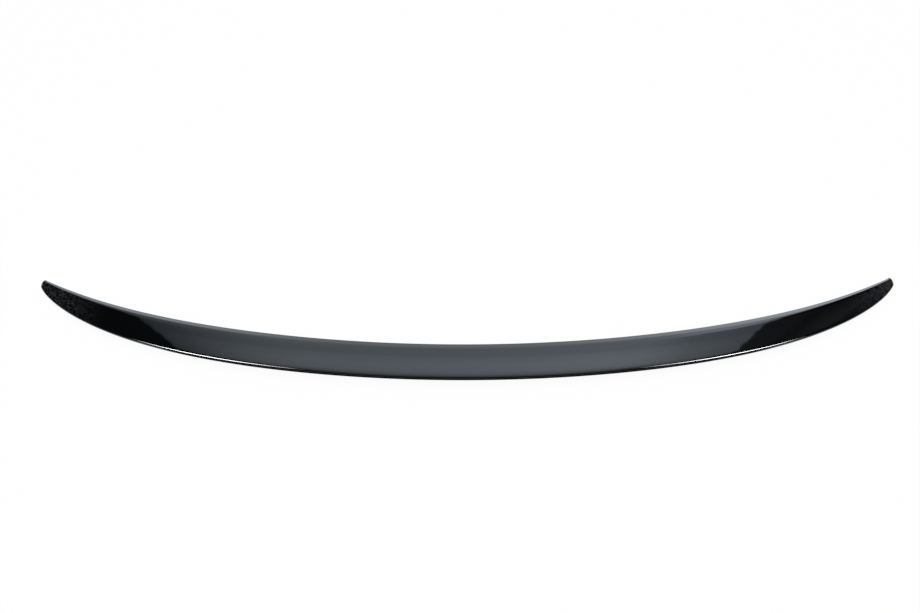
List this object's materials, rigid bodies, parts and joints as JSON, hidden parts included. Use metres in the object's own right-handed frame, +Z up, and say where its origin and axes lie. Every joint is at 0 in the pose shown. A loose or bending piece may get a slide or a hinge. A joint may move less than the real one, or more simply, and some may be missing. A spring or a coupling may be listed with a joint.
{
  "type": "car rear spoiler",
  "caption": "Slim one-piece lip spoiler in gloss black plastic: a crescent with a raised trailing lip, tapered tips and a ribbed hollow underside, taped along a car's boot lid.",
  "frame": {"origin": "on the centreline, in the middle of the flat foot rim that the part stands on", "axes": "+X across the car to its right, +Y forward, +Z up; the trailing lip faces -Y"},
  "size_m": [1.2, 0.1688, 0.017],
  "materials": {
    "gloss_black": "gloss black outside, satin as moulded on the underside"
  },
  "bodies": {
    "root": {"spoiler": "gloss_black"}
  },
  "joints": []
}
